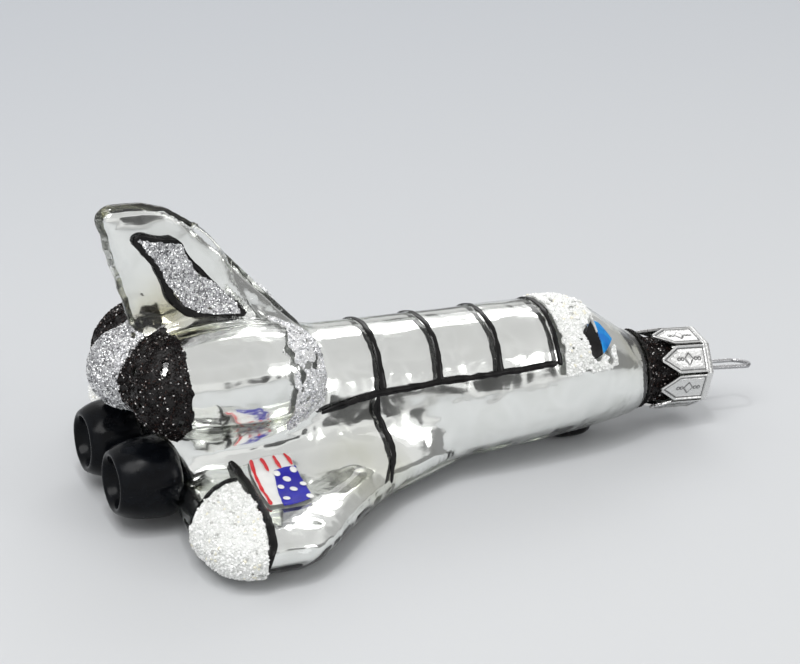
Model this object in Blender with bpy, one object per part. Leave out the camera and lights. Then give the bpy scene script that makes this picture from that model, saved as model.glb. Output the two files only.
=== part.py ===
"""Blown-glass space shuttle ornament with a metal petal cap and a wire hanger.

Metres, +X towards the nose, +Y to port, +Z up, the floor at z = 0. The tables below are in
millimetres from the tail datum (the rear rims of the lower engine cups) and are turned into
metres by the functions that read them.
"""
import math

import bmesh
import bpy
from mathutils import Matrix, Vector

MM = 0.001

# Driving dimensions, millimetres
WALL = 0.9                # thickness of the blown glass
SKIN_GAP = 0.2            # clearance between the glass and what is painted or crusted on it
CRUST = 0.8               # thickness of a glitter crust
PAINT = 0.35              # thickness of an enamel line
PATCH_GAP = 0.3           # clearance between one painted patch and the next
RING_POINTS = 32          # points round a fuselage section
POD_POINTS = 18           # points round a pod or engine section

NECK_BASE_X = 89.6        # where the nose turns into the neck
NECK_BASE_Z = 9.3
NECK_TILT = math.radians(4.5)   # the neck droops by this much
CAP_END = 12.1            # from the neck's base to the outer face of the cap's end disc
CAP_RADIUS = 6.1          # across the petals, centre to the middle of a petal
CAP_SHEET = 0.4           # thickness of the cap's metal
CAP_SKIRT = 1.7           # length of the unslit part of the cap
CAP_BEND = 1.1            # slope at the edge of the end disc
PETALS = 8
CAP_TURN = math.radians(-14.5)  # the cap's turn on the neck, from a slit facing port
PETAL_SLIT = 0.22         # half of the slit between two petals
PETAL_LENGTH = 9.7
PETAL_POINT = 3.0         # length of a petal's pointed end
WIRE = 0.7                # diameter of the hanger's wire
LEG_SPACING = 3.4         # between the wire's two legs where they leave the cap
LOOP_REACH = 10.4         # from the cap's end face to the end of the loop
LOOP_RADIUS = 2.4
LOOP_TURN = math.radians(12.0)   # the loop's starboard leg stands this much higher

CUP_Y = 7.0
CUP_Z = 7.2
POD_Y = 8.6
POD_Z = 22.2
POD_LEVEL_X = 20.0        # the port pod's axis drops behind this
PORT_POD_DROP = 2.4       # at the port pod's rear end
BALL_X = 4.4
BALL_Z = 21.9
BALL_RADIUS = 5.8

# Fuselage sections: x, half width, top, widest height, bottom
FUSELAGE = (
    (7.0, 7.6, 19.5, 9.0, 5.2),
    (8.2, 9.6, 22.0, 8.6, 3.2),
    (12.0, 11.0, 23.6, 8.0, 2.3),
    (20.0, 11.6, 24.4, 7.2, 2.0),
    (32.0, 11.5, 24.3, 6.2, 1.9),
    (46.0, 11.4, 24.0, 5.6, 1.8),
    (60.0, 11.2, 23.8, 7.0, 1.9),
    (70.0, 10.9, 23.6, 8.6, 2.0),
    (76.5, 10.3, 23.2, 9.8, 2.2),
    (80.5, 9.6, 21.6, 10.2, 2.4),
    (84.0, 8.7, 19.2, 10.2, 2.6),
    (87.2, 7.6, 16.8, 9.8, 2.9),
)

# Neck sections: distance along the neck, radius
NECK = (
    (0.0, 6.2),
    (1.4, 5.05),
    (2.4, 4.75),
    (10.9, 4.75),
)

# Wing sections out from the middle: y, rear x, front x, bottom, top
WING = (
    (3.0, 9.0, 68.0, 2.4, 8.6),
    (8.6, 8.2, 58.0, 1.9, 9.0),
    (12.0, 7.6, 51.0, 1.7, 9.0),
    (16.0, 7.0, 42.0, 1.5, 8.8),
    (22.0, 6.6, 34.4, 1.4, 8.5),
    (28.4, 7.4, 27.6, 1.5, 8.1),
    (31.4, 9.2, 23.8, 2.2, 7.2),
    (32.8, 11.8, 20.4, 3.4, 5.9),
)

# Fin sections upwards: z, rear x, crease x, front x, half thickness
FIN = (
    (19.0, 8.0, 14.0, 38.0, 4.2),
    (25.5, 5.4, 11.4, 31.4, 3.7),
    (30.0, 4.0, 9.2, 27.2, 3.1),
    (35.0, 2.5, 6.6, 22.4, 2.7),
    (40.0, 0.8, 3.8, 17.8, 2.4),
    (44.0, -0.4, 1.8, 13.8, 2.0),
    (46.4, -0.8, 0.9, 10.2, 1.5),
    (47.6, 0.6, 1.8, 6.4, 0.7),
)

# Side pod sections: x, radius
POD = (
    (2.4, 2.6),
    (3.4, 4.6),
    (5.4, 6.2),
    (8.4, 7.2),
    (13.0, 7.8),
    (20.0, 8.0),
    (25.5, 7.2),
    (28.6, 5.6),
    (30.4, 3.2),
)

# Lower engine cup, turned: x, radius; the last two points are the floor of the rear recess
CUP = (
    (8.6, 5.6),
    (7.6, 6.3),
    (5.6, 6.4),
    (3.0, 6.0),
    (1.6, 5.6),
    (0.6, 5.0),
    (0.0, 4.4),
    (0.3, 3.8),
    (1.9, 3.3),
)

# Payload-bay hoops
HOOPS = (40.5, 50.1, 60.2, 70.3)
HOOP_WIDTH = 0.9
SILL_HEIGHT = 0.9

# Moulded wheel bumps: name, x, y, half length, half width, height of the top inside the body's line
WHEELS = (
    ("nose_wheel", 78.0, 0.0, 4.2, 3.6, 2.1),
    ("main_wheel_left", 25.0, 13.5, 3.6, 2.2, 1.2),
    ("main_wheel_right", 25.0, -13.5, 3.6, 2.2, 1.2),
)

TAIL_X = BALL_X - BALL_RADIUS - SKIN_GAP - CRUST
NOSE_X = NECK_BASE_X + (CAP_END + LOOP_REACH) * math.cos(NECK_TILT)
MIDDLE_X = (TAIL_X + NOSE_X) / 2


def point(x, y, z):
    """A point of the tables, in metres in the part's frame."""
    return Vector(((x - MIDDLE_X) * MM, y * MM, z * MM))


def neckPoint(along, across, rise):
    """A point beside the neck's drooping axis, by its distance along it from the neck's base."""
    c, s = math.cos(NECK_TILT), math.sin(NECK_TILT)
    return point(NECK_BASE_X + along * c + rise * s, across, NECK_BASE_Z - along * s + rise * c)


def roundNeck(along, radius, turn):
    """A point at a radius from the neck's axis, turned about it from +Y towards +Z."""
    return neckPoint(along, radius * math.cos(turn), radius * math.sin(turn))


def loopPoint(along, across):
    """A point in the wire loop's own plane, through the neck's axis."""
    return neckPoint(along, across * math.cos(LOOP_TURN), -across * math.sin(LOOP_TURN))


def material(name, colour, roughness, metallic):
    made = bpy.data.materials.new(name)
    made.use_nodes = True
    shader = made.node_tree.nodes["Principled BSDF"]
    shader.inputs["Base Color"].default_value = (*colour, 1.0)
    shader.inputs["Roughness"].default_value = roughness
    shader.inputs["Metallic"].default_value = metallic
    return made


def makeObject(name, bm, finish=None, smooth=False):
    """A named object from a bmesh, which is used up."""
    bmesh.ops.recalc_face_normals(bm, faces=bm.faces)
    mesh = bpy.data.meshes.new(name)
    bm.to_mesh(mesh)
    bm.free()
    if finish:
        mesh.materials.append(finish)
    if smooth:
        mesh.shade_smooth()
        mesh.set_sharp_from_angle(angle=math.radians(40))
    made = bpy.data.objects.new(name, mesh)
    bpy.context.scene.collection.objects.link(made)
    return made


def loft(rings):
    """A closed bmesh through rings of equal length, capped at both ends."""
    bm = bmesh.new()
    rows = [[bm.verts.new(p) for p in ring] for ring in rings]
    count = len(rows[0])
    for low, high in zip(rows, rows[1:]):
        for i in range(count):
            j = (i + 1) % count
            bm.faces.new((low[i], low[j], high[j], high[i]))
    bm.faces.new(rows[0][::-1])
    bm.faces.new(rows[-1])
    bmesh.ops.recalc_face_normals(bm, faces=bm.faces)
    return bm


def endShift(index, count, grow):
    """How far a loft's end section moves when the loft grows by grow."""
    if index == 0:
        return -grow
    return grow if index == count - 1 else 0.0


def fuselageRing(x, half, top, wide, bottom):
    """A fuselage section: a round upper half and a squarer lower half."""
    ring = []
    for i in range(RING_POINTS):
        angle = 2 * math.pi * i / RING_POINTS
        c, s = math.cos(angle), math.sin(angle)
        power = 2 / 2.25
        y = half * math.copysign(abs(c) ** power, c)
        rise = (top - wide) if s > 0 else (wide - bottom)
        z = wide + rise * math.copysign(abs(s) ** power, s)
        ring.append(point(x, y, z))
    return ring


def fuselage(grow=0.0, openNeck=False):
    rings = []
    for i, (x, half, top, wide, bottom) in enumerate(FUSELAGE):
        shift = -grow if i == 0 else 0.0
        rings.append(fuselageRing(x + shift, half + grow, top + grow, wide, bottom - grow))
    for i, (along, radius) in enumerate(NECK):
        last = i == len(NECK) - 1
        shift = (3.0 if openNeck else grow) if last else 0.0
        turns = [2 * math.pi * k / RING_POINTS for k in range(RING_POINTS)]
        rings.append([roundNeck(along + shift, radius + grow, t) for t in turns])
    return makeObject("fuselage_form", loft(rings))


def wing(side, grow=0.0):
    """A puffy delta wing, side +1 for port and -1 for starboard."""
    rings = []
    for i, (y, rear, front, bottom, top) in enumerate(WING):
        shift = grow if i == len(WING) - 1 else 0.0
        middle, half = (bottom + top) / 2, (top - bottom) / 2 + grow
        r, f = rear - grow, front + grow
        nose = min(half * 1.5, (f - r) * 0.3)
        tail = min(half * 1.0, (f - r) * 0.3)
        ring = [(r, 0.0), (r + tail * 0.3, 0.7), (r + tail, 1.0), ((r + f) / 2, 1.0),
                (f - nose, 0.86), (f - nose * 0.3, 0.5), (f, 0.0), (f - nose * 0.3, -0.6),
                (f - nose, -1.0), ((r + f) / 2, -1.0), (r + tail, -1.0), (r + tail * 0.3, -0.7)]
        rings.append([point(px, side * (y + shift), middle + half * pz) for px, pz in ring])
    return makeObject("wing_form", loft(rings))


def fin(grow=0.0):
    rings = []
    for i, (z, rear, crease, front, half) in enumerate(FIN):
        shift = grow if i == len(FIN) - 1 else 0.0
        r, f, t = rear - grow, front + grow, half + grow
        c = min(max(crease, r + 0.6), f - 1.0)
        length = f - c
        right = [(r, 0.28), (c, 1.0), (c + length * 0.38, 0.9), (c + length * 0.75, 0.6),
                 (f - length * 0.06, 0.3)]
        ring = [point(px, -py * t, z + shift) for px, py in right]
        ring.append(point(f, 0.0, z + shift))
        ring += [point(px, py * t, z + shift) for px, py in reversed(right)]
        rings.append(ring)
    return makeObject("fin_form", loft(rings))


def pod(side, grow=0.0):
    rings = []
    drop = PORT_POD_DROP if side > 0 else 0.0
    for i, (x, radius) in enumerate(POD):
        shift = endShift(i, len(POD), grow)
        z = POD_Z - drop * max(0.0, (POD_LEVEL_X - x) / (POD_LEVEL_X - POD[0][0]))
        rings.append([point(x + shift, side * POD_Y + (radius + grow) * math.cos(a),
                            z + (radius + grow) * math.sin(a))
                      for a in (2 * math.pi * k / POD_POINTS for k in range(POD_POINTS))])
    return makeObject("pod_form", loft(rings))


def engineBall(grow=0.0):
    bm = bmesh.new()
    place = Matrix.Translation(point(BALL_X, 0.0, BALL_Z)) @ Matrix.Rotation(math.pi / 2, 4, "Y")
    bmesh.ops.create_uvsphere(bm, u_segments=20, v_segments=12,
                              radius=(BALL_RADIUS + grow) * MM, matrix=place)
    return makeObject("ball_form", bm)


def combine(base, other, operation):
    """Boolean other into base, apply it and remove other."""
    boolean = base.modifiers.new("boolean", "BOOLEAN")
    boolean.operation = operation
    boolean.solver = "EXACT"
    boolean.object = other
    graph = bpy.context.evaluated_depsgraph_get()
    mesh = bpy.data.meshes.new_from_object(base.evaluated_get(graph))
    base.modifiers.clear()
    old = base.data
    base.data = mesh
    bpy.data.meshes.remove(old)
    removeObject(other)
    return base


def removeObject(unwanted):
    mesh = unwanted.data
    bpy.data.objects.remove(unwanted)
    bpy.data.meshes.remove(mesh)


def glassForm(grow=0.0, openNeck=False):
    """Everything that is blown in one piece, grown by grow."""
    form = fuselage(grow, openNeck)
    for piece in (wing(1, grow), wing(-1, grow), fin(grow), pod(1, grow), pod(-1, grow),
                  engineBall(grow)):
        combine(form, piece, "UNION")
    return form


def copyOf(source):
    mesh = source.data.copy()
    made = bpy.data.objects.new(source.name, mesh)
    bpy.context.scene.collection.objects.link(made)
    return made


def box(x0, x1, y0, y1, z0, z1):
    """A box between two corners of the tables' frame."""
    bm = bmesh.new()
    bmesh.ops.create_cube(bm, size=1.0)
    low, high = point(x0, y0, z0), point(x1, y1, z1)
    for v in bm.verts:
        v.co = Vector([low[k] + (v.co[k] + 0.5) * (high[k] - low[k]) for k in range(3)])
    return makeObject("region", bm)


def prism(outline, axis, low, high):
    """An outline of two coordinates, extruded along the third: axis 1 takes x, z, axis 2 takes x, y."""
    def place(a, b, height):
        return point(a, height, b) if axis == 1 else point(a, b, height)
    bm = loft([[place(a, b, low) for a, b in outline], [place(a, b, high) for a, b in outline]])
    return makeObject("region", bm)


def mirrored(outline):
    """An x, y outline on the other side of the middle."""
    return [(x, -y) for x, y in outline]


def patch(name, host, region, glassGap, finish, others=()):
    """A thin skin on the glass: the host form inside the region, clear of the glass."""
    combine(host, region, "INTERSECT")
    for other in others:
        combine(host, other, "DIFFERENCE")
    combine(host, copyOf(glassGap), "DIFFERENCE")
    host.name = host.data.name = name
    host.data.materials.clear()
    host.data.materials.append(finish)
    return host


def frameOf(outline, width):
    """An outline moved inwards by width, about its own middle."""
    middle = [sum(p[k] for p in outline) / len(outline) for k in range(2)]
    inner = []
    for a, b in outline:
        reach = math.hypot(a - middle[0], b - middle[1])
        scale = (reach - width) / reach
        inner.append((middle[0] + (a - middle[0]) * scale, middle[1] + (b - middle[1]) * scale))
    return inner


def glassBody(finish):
    outer = glassForm()
    combine(outer, glassForm(-WALL, openNeck=True), "DIFFERENCE")
    outer.name = outer.data.name = "glass_body"
    outer.data.materials.clear()
    outer.data.materials.append(finish)
    return outer


def engineCup(name, side, finish):
    """A turned black bell with a shallow recess in its rear face."""
    steps = 24
    bm = bmesh.new()
    rows = [[bm.verts.new(point(x, side * CUP_Y + r * math.cos(a), CUP_Z + r * math.sin(a)))
             for a in (2 * math.pi * k / steps for k in range(steps))] for x, r in CUP]
    for low, high in zip(rows, rows[1:]):
        for i in range(steps):
            j = (i + 1) % steps
            bm.faces.new((low[i], low[j], high[j], high[i]))
    bm.faces.new(rows[0][::-1])
    bm.faces.new(rows[-1])
    return makeObject(name, bm, finish, smooth=True)


def wheel(name, x, y, half, width, rise, glassGap, finish):
    """A lens-shaped bump from the glass down to the floor."""
    bm = bmesh.new()
    steps = 20
    rows = []
    for level, share in ((0.0, 0.66), (0.35, 0.84), (0.9, 0.97), (1.6, 1.0), (rise + 3.0, 1.0)):
        rows.append([point(x + half * share * math.cos(a), y + width * share * math.sin(a), level)
                     for a in (2 * math.pi * k / steps for k in range(steps))])
    form = makeObject(name, loft(rows), finish, smooth=True)
    combine(form, copyOf(glassGap), "DIFFERENCE")
    return form


def keepLowest(form, height):
    """Delete loose solids that lie wholly above a height."""
    bm = bmesh.new()
    bm.from_mesh(form.data)
    left = set(bm.verts)
    while left:
        island, queue = set(), [next(iter(left))]
        while queue:
            v = queue.pop()
            if v in island:
                continue
            island.add(v)
            queue += [e.other_vert(v) for e in v.link_edges]
        left -= island
        if min(v.co.z for v in island) > height * MM:
            bmesh.ops.delete(bm, geom=list(island), context="VERTS")
    bm.to_mesh(form.data)
    bm.free()


def petalCap(finish):
    """The pressed cap: an end disc with a bent edge, a short skirt and pointed petals."""
    corner = CAP_RADIUS / math.cos(math.pi / PETALS)
    half = CAP_RADIUS * math.tan(math.pi / PETALS)
    corners = [CAP_TURN + 2 * math.pi * k / PETALS for k in range(PETALS)]
    bm = bmesh.new()
    middle = bm.verts.new(neckPoint(CAP_END, 0.0, 0.0))
    rows = [[bm.verts.new(roundNeck(along, radius, turn)) for turn in corners]
            for along, radius in ((CAP_END, corner - CAP_BEND * 1.2), (CAP_END - CAP_BEND, corner),
                                  (CAP_END - CAP_SKIRT, corner))]
    petal = ((CAP_END - CAP_SKIRT, half - PETAL_SLIT),
             (CAP_END - PETAL_LENGTH + PETAL_POINT * 0.62, half - PETAL_SLIT),
             (CAP_END - PETAL_LENGTH, half * 0.18))
    for k in range(PETALS):
        n = (k + 1) % PETALS
        turn = corners[k] + math.pi / PETALS
        across = Vector((0.0, math.cos(turn), math.sin(turn)))
        side = Vector((0.0, -math.sin(turn), math.cos(turn)))
        outline = [(along, -width) for along, width in petal]
        outline += [(along, width) for along, width in reversed(petal)]
        plate = []
        for along, width in outline:
            place = across * CAP_RADIUS + side * width
            plate.append(bm.verts.new(neckPoint(along, place.y, place.z)))
        bm.faces.new((rows[0][k], rows[0][n], middle))
        bm.faces.new((rows[0][n], rows[0][k], rows[1][k], rows[1][n]))
        bm.faces.new((rows[1][n], rows[1][k], rows[2][k], plate[0], plate[-1], rows[2][n]))
        bm.faces.new(plate[::-1])
    cap = makeObject("petal_cap", bm, finish)
    wall = cap.modifiers.new("wall", "SOLIDIFY")
    wall.thickness = CAP_SHEET * MM
    wall.offset = -1.0
    wall.use_even_offset = True
    for side in (1, -1):
        hole = bmesh.new()
        radius = (WIRE / 2 + 0.3) * MM
        place = Matrix.Translation(loopPoint(CAP_END, side * LEG_SPACING / 2))
        bmesh.ops.create_cone(hole, cap_ends=True, segments=12, radius1=radius, radius2=radius,
                              depth=4 * MM,
                              matrix=place @ Matrix.Rotation(math.pi / 2 + NECK_TILT, 4, "Y"))
        combine(cap, makeObject("hole", hole), "DIFFERENCE")
    return cap


def hangerWire(finish):
    """The wire: one leg in the neck, out through the cap, round the loop and back in."""
    leg = LEG_SPACING / 2
    centre = CAP_END + LOOP_REACH - LOOP_RADIUS - WIRE / 2
    route = [(CAP_END - 12.0, -3.3), (CAP_END - 9.0, -3.0), (CAP_END - 5.5, -leg - 0.3),
             (CAP_END - 3.5, -leg), (CAP_END + 1.0, -leg), (CAP_END + 3.0, -leg - 0.35)]
    arc = [(centre + LOOP_RADIUS * math.cos(a), LOOP_RADIUS * math.sin(a))
           for a in (math.radians(d) for d in range(-75, 76, 15))]
    points = route + arc + [(along, -across) for along, across in reversed(route)]
    curve = bpy.data.curves.new("hanger_wire", "CURVE")
    curve.dimensions = "3D"
    curve.bevel_depth = WIRE / 2 * MM
    curve.bevel_resolution = 2
    curve.use_fill_caps = True
    curve.resolution_u = 1
    curve.render_resolution_u = 0
    spline = curve.splines.new("POLY")
    spline.points.add(len(points) - 1)
    for p, (along, across) in zip(spline.points, points):
        p.co = (*loopPoint(along, across), 1.0)
    curve.materials.append(finish)
    wire = bpy.data.objects.new("hanger_wire", curve)
    bpy.context.scene.collection.objects.link(wire)
    return wire


# Painted outlines, starboard side. Wing outlines are x, y and fin outlines are x, z
TIP_PATCH = ((4.0, -24.6), (8.0, -20.6), (10.6, -18.6), (13.4, -16.9), (15.6, -16.3),
             (15.9, -21.9), (15.0, -28.3), (14.3, -31.2), (13.0, -38.0), (4.0, -38.0))
TIP_STRIPE = ((16.0, -11.6), (17.1, -11.6), (17.8, -16.1), (17.7, -21.9), (16.8, -28.3),
              (16.0, -32.0), (15.4, -36.0), (14.2, -36.0), (14.9, -31.0), (15.6, -28.3),
              (16.4, -21.9), (16.4, -16.1))
TIP_ARC = ((15.6, -14.3), (15.6, -15.1), (13.3, -16.2), (10.2, -18.0), (7.6, -20.2), (7.6, -19.2),
           (9.8, -17.2), (13.1, -15.3))
FLAG = ((18.8, -12.0), (25.2, -12.0), (24.7, -22.2), (18.6, -23.4))
FIN_PANEL = ((4.2, 43.3), (11.0, 42.2), (14.6, 37.2), (17.8, 34.0), (20.8, 30.2), (21.0, 28.6),
             (12.1, 30.5), (9.6, 33.0), (7.2, 39.0))
SIDE_LINE = ((39.8, 15.4), (40.6, 15.4), (40.3, 13.8), (41.8, 9.5), (40.9, 9.5), (39.5, 13.8))
WING_LINE = ((40.9, -12.3), (41.8, -12.3), (41.7, -13.6), (39.6, -19.0), (38.8, -19.0),
             (40.8, -13.4))
BLACK_PANE = ((76.2, 20.8), (78.4, 21.8), (79.2, 17.4), (77.4, 16.5))
BLUE_PANE = ((78.9, 21.8), (80.6, 20.6), (81.9, 18.7), (80.6, 17.6), (79.7, 17.3))
SILL = ((30.0, 14.8), (33.9, 15.6), (40.5, 16.3), (52.0, 16.6), (71.2, 17.2))


def sillBand(low, high):
    """The strip between two heights along the payload bay's sill, as an x, z outline."""
    return [(x, z + low) for x, z in SILL] + [(x, z + high) for x, z in reversed(SILL)]


def paintedPieces(gap, finishes):
    """Every crust, line, pane and panel that lies on the glass."""
    skin = SKIN_GAP + CRUST
    line = SKIN_GAP + PAINT
    for side, word in ((1, "left"), (-1, "right")):
        turn = (lambda outline: outline) if side < 0 else mirrored
        reach = (0.5, 40.0) if side > 0 else (-40.0, -0.5)
        patch(f"glitter_wingtip_{word}", wing(side, skin), prism(turn(TIP_PATCH), 2, -2, 14),
              gap, finishes["white_glitter"])
        patch(f"line_wingtip_front_{word}", wing(side, line), prism(turn(TIP_STRIPE), 2, -2, 14),
              gap, finishes["black_enamel"])
        patch(f"line_wingtip_rear_{word}", wing(side, line), prism(turn(TIP_ARC), 2, 5, 14),
              gap, finishes["black_enamel"])
        patch(f"glitter_pod_end_{word}", pod(side, skin), box(-4, 8.6, *reach, 8, 34),
              gap, finishes["black_glitter"])
        patch(f"glitter_pod_front_{word}", pod(side, skin), box(24.8, 34, *reach, 8, 34),
              gap, finishes["silver_glitter"])
        frame = prism(frameOf(FIN_PANEL, 1.0), 1, -20, 20)
        panel = prism(frameOf(FIN_PANEL, 1.0 + PATCH_GAP), 1, *reach)
        patch(f"glitter_fin_{word}", fin(skin), panel, gap, finishes["silver_glitter"])
        patch(f"line_fin_{word}", fin(line), prism(FIN_PANEL, 1, *reach), gap,
              finishes["black_enamel"], [frame])
        patch(f"line_sill_{word}", fuselage(line), prism(sillBand(0, SILL_HEIGHT), 1, *reach),
              gap, finishes["black_enamel"])
        patch(f"line_side_{word}", fuselage(line), prism(SIDE_LINE, 1, *reach), gap,
              finishes["black_enamel"])
        patch(f"line_wing_{word}", wing(side, line), prism(turn(WING_LINE), 2, 4, 14), gap,
              finishes["black_enamel"])
        patch(f"pane_black_{word}", fuselage(line), prism(BLACK_PANE, 1, *reach), gap,
              finishes["black_enamel"])
        patch(f"pane_blue_{word}", fuselage(line), prism(BLUE_PANE, 1, *reach), gap,
              finishes["blue_enamel"])
    for number, x in enumerate(HOOPS, 1):
        arch = prism(sillBand(SILL_HEIGHT + PATCH_GAP, 14), 1, -14, 14)
        hoop = fuselage(line)
        combine(hoop, arch, "INTERSECT")
        patch(f"line_bay_hoop_{number}", hoop, box(x, x + HOOP_WIDTH, -14, 14, 8, 30), gap,
              finishes["black_enamel"])
    patch("flag_panel", wing(-1, line), prism(FLAG, 2, 5, 14), gap, finishes["flag"])
    patch("glitter_engine_top", engineBall(skin), box(-6, 7.6, -7, 7, 12, 34), gap,
          finishes["silver_glitter"], [pod(1, skin + PATCH_GAP), pod(-1, skin + PATCH_GAP)])
    patch("glitter_neck", fuselage(SKIN_GAP + 0.5), box(89.8, 95.4, -12, 12, 0, 20), gap,
          finishes["black_glitter"])
    patch("glitter_nose", fuselage(skin), box(72.2, 84.5, -14, 14, 15.3, 30), gap,
          finishes["white_glitter"],
          [prism(grownOutline(BLACK_PANE), 1, -20, 20), prism(grownOutline(BLUE_PANE), 1, -20, 20)])


def grownOutline(outline):
    return frameOf(outline, -PATCH_GAP - 0.3)


def clearScene():
    for old in list(bpy.data.objects):
        bpy.data.objects.remove(old)


def main():
    clearScene()
    finishes = {
        "silvered_glass": material("silvered_glass", (0.86, 0.87, 0.85), 0.06, 1.0),
        "black_enamel": material("black_enamel", (0.01, 0.01, 0.012), 0.18, 0.0),
        "blue_enamel": material("blue_enamel", (0.02, 0.22, 0.55), 0.2, 0.6),
        "flag": material("flag_paint", (0.85, 0.85, 0.88), 0.3, 0.0),
        "white_glitter": material("white_glitter", (0.9, 0.91, 0.93), 0.5, 0.2),
        "silver_glitter": material("silver_glitter", (0.7, 0.7, 0.7), 0.4, 0.8),
        "black_glitter": material("black_glitter", (0.03, 0.025, 0.025), 0.45, 0.3),
        "cap_metal": material("cap_metal", (0.78, 0.78, 0.77), 0.25, 1.0),
        "wire": material("hanger_wire", (0.6, 0.61, 0.62), 0.25, 1.0),
    }
    glassBody(finishes["silvered_glass"])
    gap = glassForm(SKIN_GAP)
    paintedPieces(gap, finishes)
    for side, word in ((1, "left"), (-1, "right")):
        cup = engineCup(f"engine_cup_{word}", side, finishes["black_enamel"])
        combine(cup, copyOf(gap), "DIFFERENCE")
        combine(cup, pod(side, SKIN_GAP + CRUST + PATCH_GAP), "DIFFERENCE")
    for name, x, y, half, width, rise in WHEELS:
        bump = wheel(name, x, y, half, width, rise, gap, finishes["black_enamel"])
        keepLowest(bump, 1.0)
    removeObject(gap)
    petalCap(finishes["cap_metal"])
    hangerWire(finishes["wire"])


main()
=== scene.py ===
# Looks of a blown-glass space shuttle ornament: silvered glass, enamel, glitter and a petal cap.

import math
import random

import bmesh
import bpy
from mathutils import Matrix, Quaternion, Vector, noise
from mathutils.bvhtree import BVHTree
from mathutils.geometry import intersect_point_line


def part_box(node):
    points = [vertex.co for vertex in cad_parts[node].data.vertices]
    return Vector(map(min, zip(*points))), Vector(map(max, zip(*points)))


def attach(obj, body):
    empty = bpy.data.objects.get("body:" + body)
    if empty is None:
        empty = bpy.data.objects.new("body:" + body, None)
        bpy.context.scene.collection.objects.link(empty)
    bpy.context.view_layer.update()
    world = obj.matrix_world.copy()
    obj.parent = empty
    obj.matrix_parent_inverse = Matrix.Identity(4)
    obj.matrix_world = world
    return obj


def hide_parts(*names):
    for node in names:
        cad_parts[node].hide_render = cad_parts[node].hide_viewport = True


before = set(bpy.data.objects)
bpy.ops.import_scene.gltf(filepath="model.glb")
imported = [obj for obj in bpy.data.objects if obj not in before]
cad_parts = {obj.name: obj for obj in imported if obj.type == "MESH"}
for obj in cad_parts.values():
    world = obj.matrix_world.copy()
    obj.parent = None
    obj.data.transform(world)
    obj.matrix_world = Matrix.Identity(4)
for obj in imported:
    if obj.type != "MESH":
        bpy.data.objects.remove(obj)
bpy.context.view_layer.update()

mm = 0.001
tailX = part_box("engine_cup_right")[0].x  # the rear rims of the lower engine cups, where x starts
sides = (("right", -1), ("left", 1))


def at(x, y, z):  # millimetres ahead of the tail, to port and above the floor
    return Vector((tailX + x * mm, y * mm, z * mm))


# General tools

def only(piece):  # nothing else stays selected
    bpy.ops.object.select_all(action="DESELECT")
    piece.select_set(True)
    bpy.context.view_layer.objects.active = piece


def editAll(piece):
    only(piece)
    bpy.ops.object.mode_set(mode="EDIT")
    bpy.ops.mesh.select_all(action="SELECT")


def leaveEdit():
    bpy.ops.object.mode_set(mode="OBJECT")


def apply(piece, kind, **values):  # adds a modifier, sets it and applies it
    only(piece)
    modifier = piece.modifiers.new(kind.lower(), kind)
    for name, value in values.items():
        setattr(modifier, name, value)
    bpy.ops.object.modifier_apply(modifier=modifier.name)


def treeOf(piece):  # for finding the nearest place on a piece's faces
    mesh = piece.data
    return BVHTree.FromPolygons([v.co for v in mesh.vertices], [list(p.vertices) for p in mesh.polygons])


def smoothStep(low, high, value):
    t = min(max((value - low) / (high - low), 0.0), 1.0)
    return t * t * (3 - 2 * t)


def settle(piece):  # its place goes into its mesh
    only(piece)
    bpy.ops.object.transform_apply(location=True, rotation=True, scale=True)


def newest(name):
    piece = bpy.context.object
    piece.name = piece.data.name = name
    return piece


def duplicate(piece, name):
    only(piece)
    bpy.ops.object.duplicate()
    return newest(name)


def join(pieces, name):
    only(pieces[0])
    for piece in pieces:
        piece.select_set(True)
    bpy.ops.object.join()
    return newest(name)


def copyNode(node, name):  # a merged copy of a CAD node's loose triangles
    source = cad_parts[node]
    piece = bpy.data.objects.new(name, source.data.copy())
    bpy.context.scene.collection.objects.link(piece)
    piece.data.materials.clear()
    editAll(piece)
    bpy.ops.mesh.remove_doubles(threshold=0.001 * mm)
    leaveEdit()
    return piece


def dress(piece, finish, slot, body, *nodes):  # finish, slot (not used), body and the CAD nodes it stands for
    piece.data.materials.clear()
    piece.data.materials.append(finish)
    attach(piece, body)
    if nodes:
        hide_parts(*nodes)


def smoothShade(piece, degrees=50):
    only(piece)
    bpy.ops.object.shade_smooth_by_angle(angle=math.radians(degrees))


def outwards(piece):
    editAll(piece)
    bpy.ops.mesh.normals_make_consistent(inside=False)
    leaveEdit()


# Shared effects, as node groups

def newGroup(name, inputs, outputs, family="ShaderNodeTree"):
    tree = bpy.data.node_groups.new(name, family)
    for label, kind, *value in inputs:
        socket = tree.interface.new_socket(label, in_out="INPUT", socket_type=f"NodeSocket{kind}")
        if value:
            socket.default_value = value[0]
    for label, kind in outputs:
        tree.interface.new_socket(label, in_out="OUTPUT", socket_type=f"NodeSocket{kind}")
    return tree, tree.nodes.new("NodeGroupInput"), tree.nodes.new("NodeGroupOutput")


def add(tree, kind, inputs=(), **values):  # a node with its settings and its plain inputs
    node = tree.nodes.new(kind)
    for name, value in values.items():
        setattr(node, name, value)
    for name, value in dict(inputs).items():
        node.inputs[name].default_value = value
    return node


def link(tree, *rows):  # each row: a node, its output, the next node and its input
    for giver, gift, taker, entry in rows:
        tree.links.new(giver.outputs[gift], taker.inputs[entry])


def ramp(tree, source, stops):  # colour ramp through (place, colour) stops
    node = add(tree, "ShaderNodeValToRGB")
    while len(node.color_ramp.elements) < len(stops):
        node.color_ramp.elements.new(0.5)
    for element, (place, colour) in zip(node.color_ramp.elements, stops):
        element.position = place
        element.color = (*colour, 1)
    tree.links.new(source, node.inputs["Fac"])
    return node.outputs["Color"]


def grey(value):
    return (value, value, value)


def ownPlace(tree, node, entry="Vector"):  # the piece's own coordinates go into a node
    link(tree, (add(tree, "ShaderNodeTexCoord"), "Object", node, entry))


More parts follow.
